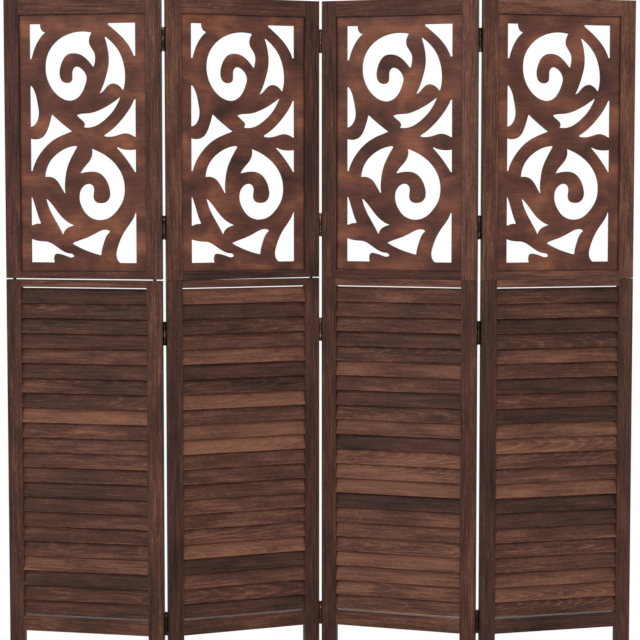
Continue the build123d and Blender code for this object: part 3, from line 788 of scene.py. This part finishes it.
def screw_rows():
    """A threaded countersunk screw with a crossed recess, set in a row at each point of a mesh."""
    tree, given, result = new_group(
        "GeometryNodeTree", "screw_rows",
        {
            "Hinges": (GEOMETRY, None), "Screws per Leaf": (INTEGER, 3), "Spacing": (FLOAT, 0.02),
            "Length": (FLOAT, 0.016), "Shank Diameter": (FLOAT, 0.003), "Head Diameter": (FLOAT, 0.0056),
            "Recess Width": (FLOAT, 0.0007), "Thread Turns": (FLOAT, 8.0), "Seed": (INTEGER, 0),
            "Steel": (MATERIAL, None),
        },
        {"Screws": GEOMETRY},
    )
    head_radius = maths(tree, "MULTIPLY", given["Head Diameter"], 0.5)
    crest_radius = maths(tree, "MULTIPLY", given["Shank Diameter"], 0.5)
    root_radius = maths(tree, "MULTIPLY", crest_radius, 0.72)
    head_height = maths(tree, "SUBTRACT", head_radius, crest_radius)
    point_length = maths(tree, "MULTIPLY", given["Shank Diameter"], 1.3)
    below_head = maths(tree, "SUBTRACT", given["Length"], head_height)
    shank_length = maths(tree, "SUBTRACT", below_head, point_length)

    def cone(top_radius, bottom_radius, depth, drop, sides=20):
        """A closed cone whose top lies below the head's face by the drop."""
        made = add_node(tree, "GeometryNodeMeshCone", {
            "Vertices": sides, "Radius Top": top_radius, "Radius Bottom": bottom_radius, "Depth": depth,
        }).outputs["Mesh"]
        low = maths(tree, "MULTIPLY", maths(tree, "ADD", depth, drop), -1.0)
        return transformed(tree, made, Translation=joined(tree, 0.0, 0.0, low))

    head = cone(head_radius, crest_radius, head_height, 0.0, 32)
    recessed = add_node(
        tree, "GeometryNodeMeshBoolean", {"Mesh 1": head}, operation="DIFFERENCE", solver="EXACT"
    )
    slot_length = maths(tree, "MULTIPLY", head_radius, 1.15)
    slot_depth = maths(tree, "MULTIPLY", head_height, 1.3)
    for turn in (0.0, pi / 2):
        slot = add_node(tree, "GeometryNodeMeshCube", {
            "Size": joined(tree, slot_length, given["Recess Width"], slot_depth),
        }).outputs["Mesh"]
        tree.links.new(transformed(tree, slot, Rotation=(0.0, 0.0, turn)), recessed.inputs["Mesh 2"])
    shank = cone(root_radius, root_radius, shank_length, head_height)
    point = cone(root_radius, 0.0001, point_length, maths(tree, "ADD", head_height, shank_length))
    helix = add_node(tree, "GeometryNodeCurveSpiral", {
        "Resolution": 12, "Rotations": given["Thread Turns"],
        "Start Radius": root_radius, "End Radius": root_radius,
        "Height": maths(tree, "MULTIPLY", shank_length, 0.92),
    }).outputs["Curve"]
    shank_end = maths(tree, "MULTIPLY", maths(tree, "ADD", head_height, shank_length), -1.0)
    helix = transformed(tree, helix, Translation=joined(tree, 0.0, 0.0, shank_end))
    ridge = add_node(tree, "GeometryNodeCurvePrimitiveCircle", {
        "Resolution": 3, "Radius": maths(tree, "SUBTRACT", crest_radius, root_radius),
    }).outputs["Curve"]
    thread = add_node(tree, "GeometryNodeCurveToMesh", {
        "Curve": helix, "Profile Curve": ridge, "Fill Caps": True,
    }).outputs["Mesh"]
    screw = tree.nodes.new("GeometryNodeJoinGeometry")
    for part in (thread, point, shank, recessed.outputs["Mesh"]):
        tree.links.new(part, screw.inputs["Geometry"])

    steps = maths(tree, "SUBTRACT", given["Screws per Leaf"], 1.0)
    lowest = maths(tree, "MULTIPLY", maths(tree, "MULTIPLY", steps, -0.5), given["Spacing"])
    leaf_row = add_node(tree, "GeometryNodeMeshLine", {
        "Count": given["Screws per Leaf"], "Start Location": joined(tree, 0.0, 0.0, lowest),
        "Offset": joined(tree, 0.0, 0.0, given["Spacing"]),
    }).outputs["Mesh"]
    seats = add_node(tree, "GeometryNodeInstanceOnPoints", {"Points": given["Hinges"], "Instance": leaf_row})
    seats = realised(tree, seats.outputs["Instances"])
    number = tree.nodes.new("GeometryNodeInputIndex").outputs[0]
    spin = maths(tree, "MULTIPLY", random_value(tree, number, given["Seed"]), pi)
    turned = add_node(tree, "FunctionNodeRotateEuler", {
        "Rotation": (0.0, pi / 2, 0.0), "Rotate By": joined(tree, spin, 0.0, 0.0),
    }).outputs["Rotation"]
    screws = add_node(tree, "GeometryNodeInstanceOnPoints", {
        "Points": seats, "Instance": screw.outputs["Geometry"], "Rotation": turned,
    }).outputs["Instances"]
    tree.links.new(with_material(tree, realised(tree, screws), given["Steel"]), result["Screws"])
    return tree


def made_by_nodes(context, name, make, inputs, points=()):
    """A plain mesh object that a geometry node group makes from its inputs and a few points."""
    seed_mesh = bpy.data.meshes.new(name)
    seed_mesh.from_pydata(points, [], [])
    maker = bpy.data.objects.new(name, seed_mesh)
    context.collection.objects.link(maker)
    modifier = maker.modifiers.new(name, "NODES")
    modifier.node_group = shared_group(make)
    sockets = {
        item.name: item.identifier
        for item in modifier.node_group.interface.items_tree if item.in_out == "INPUT"
    }
    for key, value in inputs.items():
        modifier[sockets[key]] = value
    context.view_layer.update()
    mesh = bpy.data.meshes.new_from_object(maker.evaluated_get(context.evaluated_depsgraph_get()))
    bpy.data.objects.remove(maker)
    mesh.name = name
    made = bpy.data.objects.new(name, mesh)
    context.collection.objects.link(made)
    return made


def hinge_heights(fold):
    """The heights of a fold's hinges: two on the lower section and two on the upper."""
    leaves = frame["nodes"][f"fold_{fold[0]}_{fold[1]}_left_leaves"].data
    levels = sorted(vertex.co.z for vertex in leaves.vertices)
    groups = [[levels[0]]]
    for level in levels[1:]:
        if level - groups[-1][-1] > FREE_HEIGHT_BETWEEN_HINGES:
            groups.append([])
        groups[-1].append(level)
    return [(group[0] + group[-1]) / 2 for group in groups]


# Operators


class FOLDING_SCREEN_OT_frame_wood(bpy.types.Operator):
    """Give the stiles and rails of every panel their stained wood"""

    bl_idname = "folding_screen.frame_wood"
    bl_label = "Finish Frames"

    def execute(self, context):
        finish = context.scene.screen_finish
        for panel in PANELS:
            for kind, members in (("stile", STILES), ("rail", RAILS)):
                wood = frame_wood_material(finish, panel, kind)
                for member in members:
                    give_material(f"panel_{panel}_{member}", wood)
        return {"FINISHED"}


class FOLDING_SCREEN_OT_scroll_boards(bpy.types.Operator):
    """Give the fretted boards their stained plywood"""

    bl_idname = "folding_screen.scroll_boards"
    bl_label = "Finish Scroll Boards"

    def execute(self, context):
        for panel in PANELS:
            give_material(f"panel_{panel}_scroll_board", board_material(context.scene.screen_finish, panel))
        return {"FINISHED"}


class FOLDING_SCREEN_OT_louvre_slats(bpy.types.Operator):
    """Make the rows of louvre slats, in the place of the plain ones"""

    bl_idname = "folding_screen.louvre_slats"
    bl_label = "Make Louvre Slats"

    def execute(self, context):
        sizes = context.scene.screen_slats
        wood = slat_wood_material(context.scene.screen_finish)
        reach = (
            (sizes.width / 2 - sizes.edge_radius) * cos(sizes.tilt)
            + (sizes.thickness / 2 - sizes.edge_radius) * sin(sizes.tilt)
            + sizes.edge_radius
        )
        lowest, highest = SLAT_ROW_BOTTOM + reach, SLAT_ROW_TOP - reach
        count = 1 + round((highest - lowest) / sizes.pitch)
        for panel in PANELS:
            slats = made_by_nodes(context, f"panel_{panel}_slats", louvre_row, {
                "Slats": count, "Spacing": (highest - lowest) / (count - 1),
                "Length": PANEL_WIDTH - 2 * STILE_WIDTH + 2 * sizes.housing_depth,
                "Width": sizes.width, "Thickness": sizes.thickness, "Edge Radius": sizes.edge_radius,
                "Tilt": sizes.tilt, "Bow": sizes.bow, "Seed": sizes.tone_seeds[panel - 1], "Wood": wood,
            })
            middle = Matrix.Translation((PANEL_WIDTH / 2, PANEL_THICKNESS / 2, lowest))
            slats.data.transform(panel_matrix(panel) @ middle)
            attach(slats, f"panel_{panel}")
            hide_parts(f"panel_{panel}_louvre_slats")
        return {"FINISHED"}


class FOLDING_SCREEN_OT_hinges(bpy.types.Operator):
    """Give the hinge leaves, their pins and the pins between the sections their metals"""

    bl_idname = "folding_screen.hinges"
    bl_label = "Finish Hinges and Pins"

    def execute(self, context):
        finish = context.scene.screen_finish
        black = metal_material("pin_steel", finish.pin_steel, finish.hinge_metal)
        for left, right in FOLDS:
            name = f"fold_{left}_{right}"
            bronze = metal_material(f"{name}_metal", finish.hinge_metal, finish.worn_metal_and_glint, FOLD_AXES[name])
            for piece in ("left_leaves", "right_leaves", "hinge_pins"):
                give_material(f"{name}_{piece}", bronze)
        for panel in PANELS:
            give_material(f"panel_{panel}_section_pins", black)
        return {"FINISHED"}


class FOLDING_SCREEN_OT_hinge_screws(bpy.types.Operator):
    """Make the countersunk screws of the hinge leaves, in the place of the plain ones"""

    bl_idname = "folding_screen.hinge_screws"
    bl_label = "Make Hinge Screws"

    def execute(self, context):
        sizes = context.scene.screen_screws
        finish = context.scene.screen_finish
        steel = metal_material("screw_steel", finish.hinge_metal, finish.worn_metal_and_glint)
        for fold in FOLDS:
            name = f"fold_{fold[0]}_{fold[1]}"
            back = sizes.axis_distance if self.axis_in_front(fold) else -sizes.axis_distance
            points = [(0.0, 0.0, height) for height in hinge_heights(fold)]
            for side, panel, outwards in (("left", fold[0], 1), ("right", fold[1], -1)):
                screws = made_by_nodes(context, f"{name}_{side}_screw_set", screw_rows, {
                    "Screws per Leaf": sizes.per_leaf, "Spacing": sizes.spacing, "Length": sizes.length,
                    "Shank Diameter": sizes.shank_diameter, "Head Diameter": sizes.head_diameter,
                    "Seed": panel, "Steel": steel,
                }, points)
                heading = Matrix.Rotation(panel_matrix(panel).to_euler().z, 4, "Z")
                seat = Matrix.Translation((-outwards * sizes.leaf_face, back, 0.0))
                facing = Matrix.Rotation(0.0 if outwards > 0 else pi, 4, "Z")
                screws.data.transform(Matrix.Translation(FOLD_AXES[name]) @ heading @ seat @ facing)
                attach(screws, f"panel_{panel}")
                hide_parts(f"{name}_{side}_screws")
        return {"FINISHED"}

    @staticmethod
    def axis_in_front(fold):
        """Whether a fold's axis lies in front of the panel to its left."""
        local = panel_matrix(fold[0]).inverted() @ FOLD_AXES[f"fold_{fold[0]}_{fold[1]}"]
        return local.y < 0


class FOLDING_SCREEN_OT_studio(bpy.types.Operator):
    """Set up the floor, the white surround, the lamps and the camera"""

    bl_idname = "folding_screen.studio"
    bl_label = "Set Up Studio"

    def execute(self, context):
        studio = context.scene.screen_studio
        context.scene.view_settings.view_transform = "Standard"
        self.lay_floor(context, studio)
        self.light_room(context, studio)
        camera = bpy.data.objects.new("camera", bpy.data.cameras.new("camera"))
        camera.data.lens = studio.camera_lens
        camera.data.sensor_width = 36.0
        camera.location = studio.camera_place
        camera.rotation_euler = (pi / 2 - studio.camera_pitch, 0.0, 0.0)
        context.collection.objects.link(camera)
        context.scene.camera = camera
        return {"FINISHED"}

    @staticmethod
    def lay_floor(context, studio):
        """A pale floor that keeps the shadow near the feet and is plain white further out."""
        half = studio.floor_size / 2
        corners = [(-half, -half, 0), (half, -half, 0), (half, half, 0), (-half, half, 0)]
        mesh = bpy.data.meshes.new("floor")
        mesh.from_pydata(corners, [], [(0, 1, 2, 3)])
        floor = bpy.data.objects.new("floor", mesh)
        context.collection.objects.link(floor)
        material = bpy.data.materials.new("floor")
        material.use_nodes = True
        tree = material.node_tree
        tree.nodes.clear()
        place = tree.nodes.new("ShaderNodeTexCoord").outputs["Object"]
        # The shadow fades out along an oval that is longer from side to side
        reach = measured(tree, "LENGTH", vectors(tree, "MULTIPLY", place, (0.55, 1.0, 0.0)))
        matt = add_node(tree, "ShaderNodeBsdfDiffuse", {"Color": (0.78, 0.78, 0.78, 1.0)}).outputs["BSDF"]
        glow = add_node(tree, "ShaderNodeEmission", {"Color": WHITE, "Strength": 1.0}).outputs[0]
        whiteness = maths(tree, "MULTIPLY_ADD", smooth_step(tree, reach, 0.16, 0.42), 0.45, 0.55)
        share = maths(tree, "MULTIPLY", seen_rays(tree), whiteness)
        shader = add_node(tree, "ShaderNodeMixShader", {0: share, 1: matt, 2: glow}).outputs[0]
        add_node(tree, "ShaderNodeOutputMaterial", {"Surface": shader})
        mesh.materials.append(material)

    @staticmethod
    def light_room(context, studio):
        """Even light from all round, large lamps above the camera and behind, and a lamp at each side."""
        world = bpy.data.worlds.new("room")
        world.use_nodes = True
        tree = world.node_tree
        tree.nodes.clear()
        strength = maths(
            tree, "MULTIPLY_ADD", seen_rays(tree), 1.0 - studio.room_light, studio.room_light
        )
        light = add_node(tree, "ShaderNodeBackground", {"Color": WHITE, "Strength": strength})
        add_node(tree, "ShaderNodeOutputWorld", {"Surface": light.outputs[0]})
        context.scene.world = world
        lamps = (
            ("key_lamp", (-0.9, -3.4, 3.0), 2.4, studio.key_power),
            ("left_lamp", (-3.4, -1.6, 1.6), 1.8, studio.fill_power),
            ("right_lamp", (3.4, -1.6, 1.6), 1.8, studio.fill_power),
            ("back_lamp", (1.2, 3.4, 2.8), 2.4, studio.back_power),
        )
        for name, place, size, power in lamps:
            lamp = bpy.data.objects.new(name, bpy.data.lights.new(name, "AREA"))
            lamp.data.size = size
            lamp.data.energy = power
            lamp.location = place
            towards = Vector((0.0, 0.0, PANEL_HEIGHT / 2)) - Vector(place)
            lamp.rotation_euler = towards.to_track_quat("-Z", "Y").to_euler()
            context.collection.objects.link(lamp)


class FOLDING_SCREEN_PT_sidebar(bpy.types.Panel):
    """The folding screen's steps, in the sidebar"""

    bl_idname = "FOLDING_SCREEN_PT_sidebar"
    bl_label = "Folding Screen"
    bl_space_type = "VIEW_3D"
    bl_region_type = "UI"
    bl_category = "Folding Screen"

    def draw(self, context):
        for operator in OPERATORS:
            self.layout.operator(operator.bl_idname)
        for group_name in SETTINGS:
            settings = getattr(context.scene, group_name)
            box = self.layout.box()
            for key in settings.__annotations__:
                box.prop(settings, key)


SETTINGS = {
    "screen_slats": ScreenSlats,
    "screen_screws": ScreenScrews,
    "screen_finish": ScreenFinish,
    "screen_studio": ScreenStudio,
}
OPERATORS = (
    FOLDING_SCREEN_OT_frame_wood,
    FOLDING_SCREEN_OT_scroll_boards,
    FOLDING_SCREEN_OT_louvre_slats,
    FOLDING_SCREEN_OT_hinges,
    FOLDING_SCREEN_OT_hinge_screws,
    FOLDING_SCREEN_OT_studio,
)


def register():
    """Register the settings, the operators and the panel."""
    for name, group in SETTINGS.items():
        bpy.utils.register_class(group)
        setattr(bpy.types.Scene, name, PointerProperty(type=group))
    for operator in OPERATORS:
        bpy.utils.register_class(operator)
    bpy.utils.register_class(FOLDING_SCREEN_PT_sidebar)


def unregister():
    """Take back what register does."""
    bpy.utils.unregister_class(FOLDING_SCREEN_PT_sidebar)
    for operator in reversed(OPERATORS):
        bpy.utils.unregister_class(operator)
    for name, group in reversed(SETTINGS.items()):
        delattr(bpy.types.Scene, name)
        bpy.utils.unregister_class(group)


def main():
    """Build the looks round the frame."""
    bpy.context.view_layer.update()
    register()
    for step in OPERATORS:
        group, name = step.bl_idname.split(".")
        getattr(getattr(bpy.ops, group), name)()


if __name__ == "__main__":
    main()
